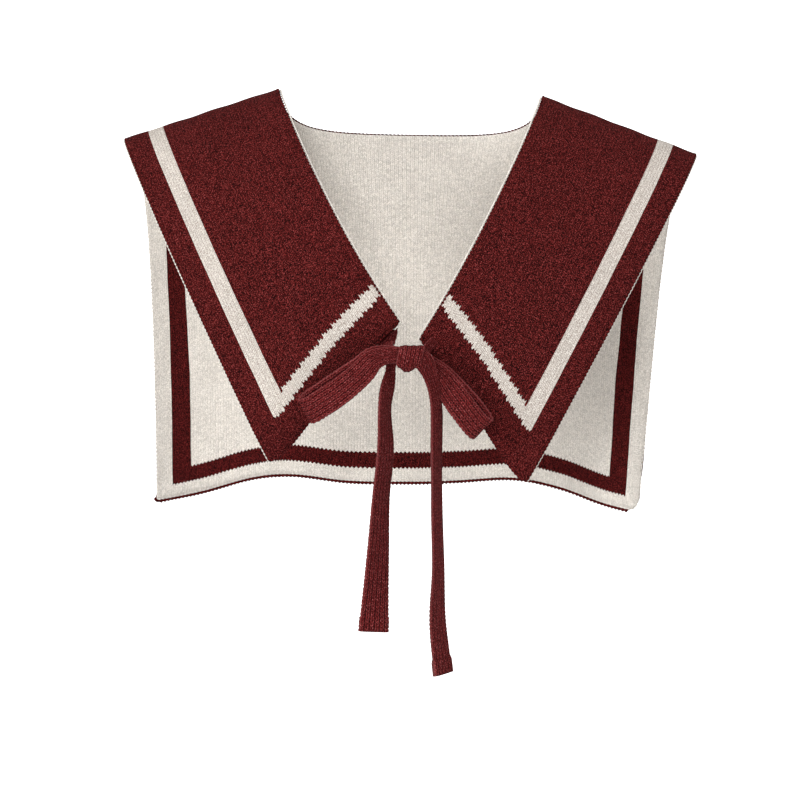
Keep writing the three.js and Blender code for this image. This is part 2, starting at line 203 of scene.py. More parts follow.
def cape(share, up):
    """Bezier curves from the hem up to the shoulder folds and the neckline. They end level over the
    shoulders and upright behind the neck. The right corner of the hem rises by a square."""
    share, up = np.broadcast_arrays(np.asarray(share, float), np.asarray(up, float))
    part = lapel_cells / (2 * lapel_cells + neck_cells)
    on_left = (share < part)[..., None]
    on_right = (share > 1 - part)[..., None]
    neck_share = np.clip((share - part) / (1 - 2 * part), 0, 1)
    left_fold = mix(fold_end(left), neck_point(left), (share / part)[..., None])
    right_fold = mix(fold_end(right), neck_point(right), ((1 - share) / part)[..., None])
    top = np.where(on_left, left_fold, np.where(on_right, right_fold, neckline(neck_share)))
    across, down, back = np.moveaxis(eased(hem_table, share), -1, 0)
    to_corner = np.clip((share - 1) / round_corner["share"] + 1, 0, 1)
    down = down - round_corner["rise"] * to_corner**2
    hem = points_of(across * hem_span / 2, back * back_depth, -down * back_length)
    hang = mix(left["hang"], right["hang"], neck_share)
    out = (hem - top)[..., 0]
    level = top + points_of(out * hang, fold_handle * hem[..., 1], 0)
    standing = top + points_of(nape_handle["out"] * out, nape_handle["back"] * hem[..., 1],
                               -nape_handle["down"] * back_length)
    near_top = mix(level, standing, np.sin(pi * neck_share)[..., None])
    x = mix(top[..., 0], hem[..., 0], mix(hang, 1, hem_handle["out"]))
    near_hem = points_of(x, hem[..., 1], mix(hem[..., 2], top[..., 2], hem_handle["up"]))
    return bezier(hem, near_hem, near_top, top, up[..., None])


def cells_of(index):
    """The four corners of each cell between the rows and columns of an array of vertex numbers."""
    corners = (index[:-1, :-1], index[:-1, 1:], index[1:, 1:], index[1:, :-1])
    return np.stack(corners, axis=-1).reshape(-1, 4)


def point_normals(points, faces):
    """At each point, the sum of the cross products of the diagonals of its faces, made one long."""
    a, b, c, d = (points[faces[:, k]] for k in range(4))
    across = np.cross(c - a, d - b)
    total = np.zeros_like(points)
    for k in range(4):
        np.add.at(total, faces[:, k], across)
    return total / np.linalg.norm(total, axis=1, keepdims=True)


def way_along(points):
    """The length of the way along the second axis of an array of points, from its first point."""
    steps = np.linalg.norm(np.diff(points, axis=1), axis=-1)
    return np.concatenate([np.zeros((len(points), 1)), np.cumsum(steps, axis=1)], axis=1)


def make_piece(name, points, faces, knit, materials, face_material=None):
    """A mesh whose faces point out, with each point's place in the flat knit as the UV map knit."""
    a, b, c, d = (points[faces[:, k]] for k in range(4))
    volume = (a * (np.cross(b, c) + np.cross(c, d))).sum()
    mesh = bpy.data.meshes.new(name)
    mesh.from_pydata(points.tolist(), [], (faces if volume > 0 else faces[:, ::-1]).tolist())
    corner = np.empty(len(mesh.loops), np.int32)
    mesh.loops.foreach_get("vertex_index", corner)
    mesh.uv_layers.new(name="knit").data.foreach_set("uv", knit[corner].astype(np.float32).ravel())
    mesh.polygons.foreach_set("use_smooth", np.ones(len(faces), bool))
    for material in materials:
        mesh.materials.append(material)
    if face_material is not None:
        mesh.polygons.foreach_set("material_index", face_material.astype(np.int32))
    piece = bpy.data.objects.new(name, mesh)
    scene.collection.objects.link(piece)
    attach(piece, "root")
    return piece


def feed(tree, kind, values=(), **settings):
    """Adds a shader node and feeds its inputs in order, from sockets or with plain values."""
    made = tree.nodes.new(kind)
    for name, value in settings.items():
        setattr(made, name, value)
    items = values.items() if isinstance(values, dict) else enumerate(values)
    for key, value in items:
        if isinstance(value, bpy.types.NodeSocket):
            tree.links.new(value, made.inputs[key])
        else:
            made.inputs[key].default_value = value
    return made


def calc(tree, operation, *values):
    return feed(tree, "ShaderNodeMath", values, operation=operation).outputs[0]


def between(tree, share, first, second):
    """A colour between two colours."""
    inputs = {0: share, 6: first, 7: second}
    return feed(tree, "ShaderNodeMix", inputs, data_type="RGBA").outputs[2]


def new_group(name, inputs, outputs):
    """A shader node group with named sockets, and its input and output nodes."""
    tree = bpy.data.node_groups.new(name, "ShaderNodeTree")
    for socket, kind, value in inputs:
        made = tree.interface.new_socket(name=socket, in_out="INPUT", socket_type=kind)
        made.default_value = value
    for socket, kind in outputs:
        tree.interface.new_socket(name=socket, in_out="OUTPUT", socket_type=kind)
    return tree, tree.nodes.new("NodeGroupInput").outputs, tree.nodes.new("NodeGroupOutput").inputs


# Knit stitches: each wale is a column of two legs that lean apart, and each course is one loop high.
# The group gives their height, and the foot of the loop that a place belongs to.
ridge_part = 0.3
loop_floor = 0.35
stitches, given, result = new_group(
    "knit stitches",
    [("Place", "NodeSocketVector", (0, 0, 0)), ("Wale", "NodeSocketFloat", wale),
     ("Course", "NodeSocketFloat", course)],
    [("Height", "NodeSocketFloat"), ("Loop", "NodeSocketVector")],
)
place = feed(stitches, "ShaderNodeSeparateXYZ", [given["Place"]]).outputs
column = calc(stitches, "DIVIDE", place[0], given["Wale"])
half = calc(stitches, "SUBTRACT", calc(stitches, "FRACT", column), 0.5)
from_middle = calc(stitches, "MULTIPLY", calc(stitches, "ABSOLUTE", half), 2)
row = calc(stitches, "ADD", calc(stitches, "DIVIDE", place[1], given["Course"]), from_middle)
off_leg = calc(stitches, "SUBTRACT", calc(stitches, "MULTIPLY", from_middle, 2), 1)
leg = calc(stitches, "SUBTRACT", 1, calc(stitches, "MULTIPLY", off_leg, off_leg))
off_loop = calc(stitches, "SUBTRACT", calc(stitches, "MULTIPLY", calc(stitches, "FRACT", row), 2), 1)
loop = calc(stitches, "SUBTRACT", 1, calc(stitches, "MULTIPLY", off_loop, off_loop))
round_leg = calc(stitches, "SQRT", leg)
round_loop = calc(stitches, "SQRT", loop)
ridge = calc(stitches, "SUBTRACT", 1, calc(stitches, "MULTIPLY", from_middle, from_middle))
legs = calc(stitches, "MULTIPLY", round_leg, 1 - ridge_part)
wale_height = calc(stitches, "ADD", legs, calc(stitches, "MULTIPLY", ridge, ridge_part))
loop_height = calc(stitches, "MULTIPLY_ADD", round_loop, 1 - loop_floor, loop_floor)
height = calc(stitches, "MULTIPLY", wale_height, loop_height)
stitches.links.new(height, result["Height"])
middle = calc(stitches, "ADD", calc(stitches, "FLOOR", column), 0.5)
foot_x = calc(stitches, "MULTIPLY", middle, given["Wale"])
foot_y = calc(stitches, "MULTIPLY", calc(stitches, "FLOOR", row), given["Course"])
foot = feed(stitches, "ShaderNodeCombineXYZ", [foot_x, foot_y]).outputs[0]
stitches.links.new(foot, result["Loop"])

# The stripe of the flat pattern: a frame that keeps its distance to the side edges, the hem and the
# slanted ends of the lapels, and is narrower on the lapels than on the back. It is toothed where it
# crosses the wales: in steps of two wales along the slants, and in a fine zigzag along the hem.
# A pair of sizes is for the back and for the lapels, and one becomes the other over the taper's length.
side_border = (0.0176, 0.0161)
side_stripe = (0.0160, 0.0106)
hem_border = 0.0092
hem_stripe = 0.0116
slant_border = 0.0242
slant_stripe = 0.0090
tooth_pitch = 0.0029
tooth_depth = 0.0014
taper = 0.2
slant = (flat_outer - flat_inner) / flat_lapel
stripe, given, result = new_group(
    "border stripe",
    [("Loop", "NodeSocketVector", (0, 0, 0)), ("Place", "NodeSocketVector", (0, 0, 0))],
    [("Mask", "NodeSocketFloat")],
)
loop_at = feed(stripe, "ShaderNodeSeparateXYZ", [given["Loop"]]).outputs
from_side = calc(stripe, "MINIMUM", loop_at[0], calc(stripe, "SUBTRACT", flat_width, loop_at[0]))
pair = calc(stripe, "FLOOR", calc(stripe, "DIVIDE", from_side, 2 * wale))
pair_way = calc(stripe, "MULTIPLY", calc(stripe, "ADD", pair, 0.5), 2 * wale)
lapel_end = calc(stripe, "SUBTRACT", flat_outer, calc(stripe, "MULTIPLY", pair_way, slant))
from_slant = calc(stripe, "SUBTRACT", lapel_end, loop_at[1])
place = feed(stripe, "ShaderNodeSeparateXYZ", [given["Place"]]).outputs
side_way = calc(stripe, "MINIMUM", place[0], calc(stripe, "SUBTRACT", flat_width, place[0]))
zigzag = calc(stripe, "FRACT", calc(stripe, "DIVIDE", place[0], tooth_pitch))
zigzag = calc(stripe, "ABSOLUTE", calc(stripe, "SUBTRACT", zigzag, 0.5))
tooth = calc(stripe, "MULTIPLY", zigzag, 2 * tooth_depth)
from_hem = calc(stripe, "ADD", calc(stripe, "ADD", place[1], flat_back - tooth_depth / 2), tooth)
on_lapel = calc(stripe, "GREATER_THAN", loop_at[1], 0)
over_shoulder = feed(stripe, "ShaderNodeMapRange", [loop_at[1], -taper, 0, 0, 1]).outputs[0]


def past(first, second):
    """One where a place lies past both distances, else zero: the first from the side edge, and the
    second from the hem or the slant. Each is a pair, for the back and for the lapels."""
    from_end = calc(stripe, "SUBTRACT", from_slant, second[1])
    on_back = calc(stripe, "SUBTRACT", from_hem, second[0])
    way = calc(stripe, "MULTIPLY_ADD", calc(stripe, "SUBTRACT", from_end, on_back), on_lapel, on_back)
    border = calc(stripe, "MULTIPLY_ADD", over_shoulder, first[1] - first[0], first[0])
    inside = calc(stripe, "MINIMUM", calc(stripe, "SUBTRACT", side_way, border), way)
    return calc(stripe, "GREATER_THAN", inside, 0)


outer_line = past(side_border, (hem_border, slant_border))
inner_ends = (hem_border + hem_stripe, slant_border + slant_stripe)
inner_line = past(np.add(side_border, side_stripe), inner_ends)
stripe.links.new(calc(stripe, "SUBTRACT", outer_line, inner_line), result["Mask"])

# Spun yarn: painted shade between the loops, a little uneven from loop to loop and over the cloth,
# with paler flecks painted on the loop crests as highlights where single fibres catch the light.
fibre_scale = 1700
cloud_scale = 22
crest_power = 2.2
fleck_start = 0.56
fleck_gain = 12
fibre_relief = 0.35
yarn, given, result = new_group(
    "spun yarn",
    [("Yarn", "NodeSocketColor", (0.5, 0.5, 0.5, 1)), ("Shade", "NodeSocketColor", (0.1, 0.1, 0.1, 1)),
     ("Fleck", "NodeSocketColor", (1, 1, 1, 1)), ("Flecks", "NodeSocketFloat", 0.3),
     ("Uneven", "NodeSocketFloat", 0.5), ("Fuzz", "NodeSocketFloat", 1),
     ("Height", "NodeSocketFloat", 1), ("Loop", "NodeSocketVector", (0, 0, 0))],
    [("Color", "NodeSocketColor"), ("Relief", "NodeSocketFloat")],
)
at = feed(yarn, "ShaderNodeTexCoord").outputs["Object"]
fine = {"Vector": at, "Scale": fibre_scale, "Detail": 0}
broad = {"Vector": at, "Scale": cloud_scale, "Detail": 3}
fibre = feed(yarn, "ShaderNodeTexNoise", fine).outputs["Fac"]
cloud = feed(yarn, "ShaderNodeTexNoise", broad).outputs["Fac"]
chance = feed(yarn, "ShaderNodeTexWhiteNoise", [given["Loop"]], noise_dimensions="2D").outputs["Value"]
crest = calc(yarn, "POWER", given["Height"], crest_power)
fuzz = calc(yarn, "MULTIPLY", calc(yarn, "SUBTRACT", fibre, 0.5), given["Fuzz"])
lit = calc(yarn, "ADD", crest, fuzz)
# Painted shade: the colour darkens from the yarn colour to the shade colour down between the loops.
deep = between(yarn, lit, given["Shade"], given["Yarn"])
uneven = calc(yarn, "MULTIPLY", calc(yarn, "SUBTRACT", chance, 0.5), given["Uneven"])
tone = calc(yarn, "ADD", calc(yarn, "MULTIPLY_ADD", cloud, 0.16, 0.92), uneven)
toned = feed(yarn, "ShaderNodeVectorMath", {0: deep, "Scale": tone}, operation="SCALE")
# Painted highlight: paler flecks on the loop crests, where the fibres catch the light.
bright = calc(yarn, "MAXIMUM", calc(yarn, "SUBTRACT", fibre, fleck_start), 0)
bright = calc(yarn, "MULTIPLY", bright, fleck_gain)
peek = calc(yarn, "MULTIPLY", calc(yarn, "MULTIPLY", bright, crest), given["Flecks"])
yarn.links.new(between(yarn, peek, toned.outputs[0], given["Fleck"]), result["Color"])
relief = calc(yarn, "ADD", given["Height"], calc(yarn, "MULTIPLY", fibre, fibre_relief))
yarn.links.new(relief, result["Relief"])

# Each yarn has its colour, its painted shade between the loops and the colour of its painted highlight
# flecks, and numbers for how uneven its loops are and how much its fibres stand out.
burgundy = {"Yarn": (0.104, 0.0080, 0.0075, 1), "Shade": (0.012, 0.001, 0.001, 1),
            "Fleck": (0.275, 0.053, 0.051, 1), "Uneven": 0.32, "Fuzz": 6.6}
cream = {"Yarn": (0.90, 0.85, 0.785, 1), "Shade": (0.58, 0.53, 0.47, 1),
         "Fleck": (0.95, 0.90, 0.85, 1), "Uneven": 0.2, "Fuzz": 2.3}
# The face's stripe is the cream yarn painted darker and greyer, as painted shade.
shaded_stripe_cream = {"Yarn": (0.74, 0.69, 0.63, 1), "Shade": (0.38, 0.32, 0.28, 1),
                "Fleck": (0.95, 0.90, 0.85, 1), "Uneven": 0.1, "Fuzz": 2.6}
pattern_flecks = 0.15


def knit_material(name, ground, flecks, pattern=None, depth=0.0006, gauge=(wale, course), edge_highlight=None):
    """A matte knit: its stitches come from the UV map knit, its stripe from the flat pattern, and its
    paler edges, a painted highlight, from the nearness to both sides of a strap of a given width."""
    material = bpy.data.materials.new(name)
    material.use_nodes = True
    tree = material.node_tree
    shader = tree.nodes["Principled BSDF"]
    flat = feed(tree, "ShaderNodeUVMap", uv_map="knit").outputs[0]
    inputs = {"Place": flat, "Wale": gauge[0], "Course": gauge[1]}
    loops = feed(tree, "ShaderNodeGroup", inputs, node_tree=stitches).outputs

    def spun(kind, share):
        inputs = dict(kind, Flecks=share, Height=loops["Height"], Loop=loops["Loop"])
        return feed(tree, "ShaderNodeGroup", inputs, node_tree=yarn).outputs

    base = spun(ground, flecks)
    colour = base["Color"]
    if pattern:
        drawn = feed(tree, "ShaderNodeGroup", {"Loop": loops["Loop"], "Place": flat}, node_tree=stripe)
        colour = between(tree, drawn.outputs["Mask"], colour, spun(pattern, pattern_flecks)["Color"])
    # Painted highlight: the colour pales towards the fleck colour near both edges of the strap.
    if edge_highlight:
        width, reach, share = edge_highlight
        off_middle = feed(tree, "ShaderNodeSeparateXYZ", [flat]).outputs[0]
        off_middle = calc(tree, "ABSOLUTE", calc(tree, "SUBTRACT", off_middle, width / 2))
        near = calc(tree, "DIVIDE", calc(tree, "SUBTRACT", off_middle, width / 2 - reach), reach)
        near = calc(tree, "MULTIPLY", calc(tree, "MINIMUM", calc(tree, "MAXIMUM", near, 0), 1), share)
        colour = between(tree, near, colour, ground["Fleck"])
    tree.links.new(colour, shader.inputs["Base Color"])
    inputs = {"Strength": 0.85, "Distance": depth, "Height": base["Relief"]}
    tree.links.new(feed(tree, "ShaderNodeBump", inputs).outputs[0], shader.inputs["Normal"])
    shader.inputs["Roughness"].default_value = 1
    shader.inputs["Specular IOR Level"].default_value = 0.08
    return material


face_knit = knit_material("panel face", burgundy, flecks=0.55, pattern=shaded_stripe_cream)
reverse_knit = knit_material("panel reverse", cream, flecks=0.25, pattern=burgundy)

column_count = 2 * lapel_cells + neck_cells
column_share = np.linspace(0, 1, column_count + 1)
cape_grid = cape(column_share[:, None], np.linspace(0, 1, back_rows + 1)[None, :])
cape_way = way_along(cape_grid)
on_neck = np.clip((column_share * column_count - lapel_cells) / neck_cells, 0, 1)
fold_way = mix(cape_way[lapel_cells, -1], cape_way[-1 - lapel_cells, -1], on_neck)
own_way = np.where((on_neck > 0) & (on_neck < 1), fold_way, cape_way[:, -1])
cape_v = cape_way * (flat_back / own_way)[:, None] - flat_back
cape_u = np.broadcast_to(flat_width * column_share[:, None], cape_v.shape)

lapel_across = np.linspace(0, 1, lapel_cells + 1)[:, None]
lapel_down = np.linspace(0, 1, front_rows + 1)[None, 1:]
lapel_flat = mix(flat_outer, flat_inner, lapel_across)
cape_index = np.arange(cape_v.size).reshape(cape_v.shape)
fronts = {}
surface = [cape_grid.reshape(-1, 3)]
knit_uv = [np.stack([cape_u, cape_v], axis=-1).reshape(-1, 2)]
count = cape_v.size
for name, side in (("left", left), ("right", right)):
    grid = lapel(side, lapel_across, lapel_down)
    lapel_way = way_along(lapel(side, lapel_across, np.append(0, lapel_down)[None]))[:, 1:]
    lapel_v = lapel_way * (lapel_flat - side["roll"]) / lapel_way[:, -1:]
    top = cape_index[: lapel_cells + 1, -1] if side is left else cape_index[::-1, -1][: lapel_cells + 1]
    numbers = count + np.arange(lapel_v.size).reshape(lapel_v.shape)
    fronts[name] = np.concatenate([top[:, None], numbers], axis=1)
    u = lapel_across * column_share[lapel_cells] * flat_width
    u = np.broadcast_to(u if side is left else flat_width - u, lapel_v.shape)
    surface.append(grid.reshape(-1, 3))
    knit_uv.append(np.stack([u, lapel_v], axis=-1).reshape(-1, 2))
    count += lapel_v.size
surface = np.concatenate(surface)
knit_uv = np.concatenate(knit_uv)
net = np.concatenate([cells_of(cape_index), cells_of(fronts["left"]), cells_of(fronts["right"][::-1])])

# The knit lies a little uneven: slow waves across and along it lift it by half a millimetre.
wave_length = 0.055
wave_height = 0.0005
wave_u, wave_v = 2 * pi * knit_uv.T / wave_length
waves = np.sin(wave_u + 1.3 * np.sin(0.7 * wave_v)) * np.sin(0.8 * wave_v + 0.9 * np.cos(wave_u))
surface = surface + point_normals(surface, net) * (wave_height * waves)[:, None]
normals = point_normals(surface, net)

left_front, right_front = fronts["left"], fronts["right"]
nape = cape_index[lapel_cells:-1 - lapel_cells, -1]
outline = np.concatenate([
    cape_index[0, :-1], left_front[0, :-1], left_front[:-1, -1], left_front[-1, :0:-1], nape,
    right_front[-1, :-1], right_front[:0:-1, -1], right_front[0, :0:-1],
    cape_index[-1, :0:-1], cape_index[:0:-1, 0],
])
after = np.roll(outline, -1)
rim = np.stack([after, outline, outline + count, after + count], axis=1)
both = np.concatenate([surface + normals * wall / 2, surface - normals * wall / 2])
panel_faces = np.concatenate([net, net[:, ::-1] + count, rim])
panel_sides = np.repeat([0, 1, 0], [len(net), len(net), len(rim)])
panel = make_piece("collar_knit", both, panel_faces, np.tile(knit_uv, (2, 1)),
                   [face_knit, reverse_knit], panel_sides)
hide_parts("collar_panel")

# Along every edge the two yarns end in a row of small loops each, burgundy outside and cream inside.
# They are knitted with the panel. The cream ones stand out most at the neck and along the lapels, and
# the burgundy ones along the hem.
loop_pitch = 0.0028
loop_steps = 4
rope_sides = 8
rope_flatness = 0.75
rope_swell = 0.24
rope_sway = 0.0002
rope_lift = 0.0006
rim_end = 0.965


def edge_rope(name, depth, reach, radius, material):
    """A closed tube round the outline, a little flattened, whose radius swells and shrinks by a cosine
    once for each loop."""
    path = surface[outline] + depth * normals[outline]
    along = np.roll(path, -1, axis=0) - np.roll(path, 1, axis=0)
    away = np.cross(along, normals[outline])
    away /= np.linalg.norm(away, axis=1, keepdims=True)
    path = path + away * reach[:, None]
    closed = np.concatenate([path, path[:1]])
    way = np.concatenate([[0], np.cumsum(np.linalg.norm(np.diff(closed, axis=0), axis=1))])
    loops = round(way[-1] / loop_pitch)
    at = np.arange(loop_steps * loops) / (loop_steps * loops)
    round_edge = np.append(np.arange(len(outline)), 0)
    known = [closed, away[round_edge], normals[outline[round_edge]], radius[round_edge, None]]
    known = np.concatenate(known, axis=1)
    spaced = np.stack([np.interp(at * way[-1], way, column) for column in known.T], axis=1)
    middle, out, up, radius = spaced[:, :3], spaced[:, 3:6], spaced[:, 6:9], spaced[:, 9]
    phase = 2 * pi * loops * at
    swell = radius * (1 - rope_swell * (1 + np.cos(phase)))
    middle = middle + up * (rope_sway * np.sin(phase))[:, None]
    around = 2 * pi * np.arange(rope_sides) / rope_sides
    ring = out[:, None] * np.cos(around)[None, :, None]
    ring = ring + rope_flatness * up[:, None] * np.sin(around)[None, :, None]
    points = middle[:, None] + ring * swell[:, None, None]
    index = np.arange(len(at) * rope_sides).reshape(len(at), rope_sides)
    index = np.concatenate([index, index[:1]])
    index = np.concatenate([index, index[:, :1]], axis=1)
    uv = points_of(around[None] / (2 * pi) * wale, at[:, None] * loops * loop_pitch, 0)[..., :2]
    return make_piece(name, points.reshape(-1, 3), cells_of(index), uv.reshape(-1, 2),
                      [material])


edge_u, edge_v = knit_uv[outline].T
off_middle = np.abs(edge_u - flat_width / 2)
on_front = edge_v > 0
at_neck = on_front & (off_middle < flat_width / 2 - 0.95 * flat_lapel)
at_side = on_front & (off_middle > flat_width / 2 - wale / 2)
at_hem = (edge_v < course / 5 - flat_back) & (edge_u < rim_end * flat_width)
at_nape = ~on_front & (edge_v > -flat_back / 2) & (off_middle < 0.96 * (flat_width / 2 - flat_lapel))

# Rows: where, then how far the cream loops stand out and their radius, then the same for the burgundy.
# The first row that fits a place holds there, and the last holds everywhere else.
edge_table = [
    (at_neck, 0.0019, 0.0008, 0.0001, 0.0013), (at_side, 0.0012, 0.0008, 0.0001, 0.0013),
    (on_front, -0.0004, 0.0008, 0.0001, 0.0013), (at_hem, 0, 0.0010, 0.0014, 0.0021),
    (at_nape, 0, 0.0008, 0.0007, 0.0009), (~on_front, 0, 0.0008, -0.0003, 0.0009),
]
where, *columns = zip(*edge_table)
cream_reach, cream_radius, burgundy_reach, burgundy_radius = (np.select(where, c) for c in columns)
edge_cream = knit_material("edge loops cream", cream, flecks=0.1, gauge=(wale, loop_pitch))
edge_burgundy = knit_material("edge loops burgundy", burgundy, flecks=0.2, gauge=(wale, loop_pitch))
cream_edge = edge_rope("edge_loops_cream", -rope_lift, cream_reach, cream_radius, edge_cream)
burgundy_edge = edge_rope("edge_loops_burgundy", rope_lift, burgundy_reach, burgundy_radius,
                          edge_burgundy)

# The ties are two knitted straps, burgundy on both sides, each sewn behind a lapel's inner corner.
# They are tied in a bow: a knot wound once round four layers of strap, two loops and two tails.
strap_width = 0.0185
strap_thick = 0.0024
strap_gap = 0.0005
bead_depth = 0.075
tie_gauge = (0.0031, 0.0024)
# The width of the painted highlight along each edge of a tie strap.
edge_highlight_width = 0.0012
knot_width = 0.0165
knot_height = 0.017
knot_slant = 0.0040
knot_fall = 0.0175
knot_proud = 0.012
knot_inside = 0.12
knot_mouth = 0.52
section_points = 19
layer_pitch = strap_thick + strap_gap
knot_thick = 2 * strap_thick + 4 * layer_pitch + strap_gap
gathered = 0.57 * (knot_height - 2 * layer_pitch)
bow_middle = (inner_corner(left) + inner_corner(right)) / 2 - (0, knot_proud, knot_fall)
across_flat = np.sin(np.linspace(-pi / 2, pi / 2, section_points))
tie_burgundy = {"Yarn": (0.175, 0.0150, 0.0155, 1), "Shade": (0.004, 0.001, 0.001, 1),
                "Fleck": (0.40, 0.110, 0.110, 1), "Uneven": 0.3, "Fuzz": 0.9}
# The tie straps carry a painted highlight along both edges.
tie_knit = knit_material("tie knit", tie_burgundy, flecks=0.4, depth=0.0009, gauge=tie_gauge,
                         edge_highlight=(strap_width, edge_highlight_width, 0.28))


def bow_point(side, out, up, forward):
    """The bow's middle plus a way out to a side, up and forward."""
    return bow_middle + points_of(side["sign"] * out, -np.asarray(forward, float), up)


def layer_forward(layer):
    """How far forward one of the four layers in the knot lies, the first one foremost."""
    return (1.5 - layer) * layer_pitch


def centripetal(points, count):
    """A Catmull-Rom curve whose steps between points are the square roots of their distances: each
    stretch is a cubic through two points with the slopes that its neighbours give it. It returns
    places and directions, evenly spread over the stretches."""
    padded = np.concatenate([[2 * points[0] - points[1]], points, [2 * points[-1] - points[-2]]])
    root = np.linalg.norm(np.diff(padded, axis=0), axis=1)[:, None] ** 0.5
    place = np.linspace(0, len(points) - 1, count)
    start = np.minimum(place.astype(int), len(points) - 2)
    s = (place - start)[:, None]
    before, a, b, beyond = (padded[start + k] for k in range(4))
    first, middle, last = (root[start + k] for k in range(3))
    leave = ((a - before) / first - (b - before) / (first + middle) + (b - a) / middle) * middle
    arrive = ((b - a) / middle - (beyond - a) / (middle + last) + (beyond - b) / last) * middle
    square, cube = 3 * (b - a) - 2 * leave - arrive, 2 * (a - b) + leave + arrive
    along = leave + 2 * square * s + 3 * cube * s**2
    return a + leave * s + square * s**2 + cube * s**3, along / np.linalg.norm(along, axis=1)[:, None]


def strap(name, node, middle, along, across, width, thick, folds=None):
    """A flat bar with round edges swept along a path. Its section is the width times a share across,
    and the thickness times the root of one less the sixth power of that share. Folds lift both
    faces together, and the edges are beaded once for each edge loop."""
    across = across - along * (across * along).sum(axis=1)[:, None]
    across /= np.linalg.norm(across, axis=1)[:, None]
    out = np.cross(along, across)
    way = np.concatenate([[0], np.cumsum(np.linalg.norm(np.diff(middle, axis=0), axis=1))])
    share = np.concatenate([across_flat, across_flat[-2:0:-1]])
    face = np.repeat([1.0, -1.0], [len(across_flat), len(across_flat) - 2])
    level = face * np.sqrt(1 - share**6) / 2
    bead = 1 + bead_depth * np.abs(np.sin(pi * way / loop_pitch))
    wide = (width * bead)[:, None] * share / 2
    lift = thick[:, None] * level
    if folds is not None:
        lift = lift + folds(way[:, None], share[None])
    points = middle[:, None] + across[:, None] * wide[..., None] + out[:, None] * lift[..., None]
    index = np.arange(points[..., 0].size).reshape(points.shape[:2])
    faces = [cells_of(np.concatenate([index, index[:, :1]], axis=1))]
    half = len(across_flat)
    for end, order in ((0, -1), (-1, 1)):
        top, bottom = index[end, :half], np.append(index[end, 0], index[end, :half - 2:-1])
        cap = np.stack([top[:-2], top[1:-1], bottom[2:], bottom[1:-1]], axis=1)
        faces.append(cap[:, ::order])
    knit = points_of((share + 1) / 2 * strap_width, way[:, None], 0)[..., :2].reshape(-1, 2)
    piece = make_piece(name, points.reshape(-1, 3), np.concatenate(faces), knit, [tie_knit])
    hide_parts(node)
    return piece


def mouth_rows(side, layer, lift=0, wide=gathered):
    """The strap at the inside of the knot and at its mouth: place, width, thickness and turn."""
    forward = layer_forward(layer)
    places = [bow_point(side, knot_inside * knot_width, 0, forward),
              bow_point(side, knot_mouth * knot_width, lift, forward)]
    return places, [(gathered, strap_thick, 0), (wide, strap_thick, 0)]


def stations(places, sizes, count):
    """Places and directions on the curve, with the eased width, thickness and turn at each."""
    middle, along = centripetal(np.array(places), count)
    width, thick, turn = eased(sizes, np.linspace(0, 1, count)).T
    return middle, along, width, thick, np.radians(turn)


# Each loop runs out along its back layer, turns at its end and comes back along its front layer.
# Rows from the knot outwards: out in loop lengths, rise, forward and width in strap widths, gap
# between the layers in loop depths, and lean of the top edge towards the chest in degrees.
loop_depth = 0.0105
back_lean = 0.9
front_fall = 0.11
loop_stations = 193
loop_tables = {
    "left": [(0.18, 0.5, 0.15, 0.6, 0.32, 3), (0.29, 0.56, 0.22, 0.75, 0.4, 12),
             (0.42, 0.38, 0.28, 0.9, 0.6, 22), (0.65, 0.19, 0.28, 0.96, 1, 22),
             (0.86, 0.07, 0.26, 0.95, 0.9, 14), (0.96, 0.02, 0.25, 0.93, 0.7, 6)],
    "right": [(0.19, 0.34, -0.26, 0.5, 0.32, 0), (0.35, 0.33, -0.2, 0.72, 0.36, 0),
              (0.56, 0.21, 0.15, 0.92, 0.6, 10), (0.76, 0.12, 0.3, 0.97, 0.9, 18),
              (0.89, 0.05, 0.3, 0.96, 0.85, 12), (0.96, 0.02, 0.3, 0.94, 0.65, 5)],
}
left.update(loop_length=0.076, droop=26.6, loop_layers=(0, 1), loop_flat=0.150,
            mouth=(0.0022, 0.0104))
right.update(loop_length=0.066, droop=44, loop_layers=(1, 2), loop_flat=0.130,
             mouth=(0, gathered))


def gathers(count, depth, reach, start=0.004, opening=0.006):
    """Folds that run along the strap: a cosine across it that wavers by a slow sine, deepest just
    outside the knot's mouth and gone by the end of their reach, and none inside the knot."""
    def lift(way, share):
        open_out = smooth((way - start) / opening) * (1 - smooth((way - start) / reach))
        return depth * open_out * np.cos(pi * count * share + 0.6 * np.sin(40 * way))
    return lift


def add_loop(name, side, folds):
    """A strap out of the knot, round the loop's end and back in, with folds at both of its ends."""
    droop = radians(side["droop"])
    outward = points_of(side["sign"] * cos(droop), 0, -sin(droop))
    rise = points_of(side["sign"] * sin(droop), 0, cos(droop))

    def layer(row, front):
        out, up, forward, wide, gap, lean = row
        up = (up - front * gap * front_fall) * strap_width
        shift = forward * strap_width + front * gap * loop_depth / 2
        place = bow_middle + outward * out * side["loop_length"] + rise * up - (0, shift, 0)
        return place, (wide * strap_width, strap_thick, lean if front > 0 else -back_lean * lean)

    table = loop_tables[name]
    end = layer((1, 0) + table[-1][2:], 0)
    back = [layer(row, -1) for row in table]
    front = [layer(row, 1) for row in table[::-1]]
    inner, inner_size = mouth_rows(side, side["loop_layers"][1], *side["mouth"])
    outer, outer_size = mouth_rows(side, side["loop_layers"][0], *side["mouth"])
    rows = back + [end] + front
    places = inner + [place for place, _ in rows] + outer[::-1]
    sizes = inner_size + [size for _, size in rows] + outer_size[::-1]
    middle, along, width, thick, lean = stations(places, sizes, loop_stations)
    across = rise * np.cos(lean)[:, None] + points_of(0, np.sin(lean), 0)
    long = np.linalg.norm(np.diff(middle, axis=0), axis=1).sum()

    def both_ends(way, share):
        return folds(way, share) - folds(long - way, share)

    piece = strap("loop_knit_" + name, "bow_loop_" + name, middle, along, across, width, thick, both_ends)


add_loop("left", left, gathers(1.5, 0.0005, 0.030))
add_loop("right", right, gathers(1.5, 0.0004, 0.026))

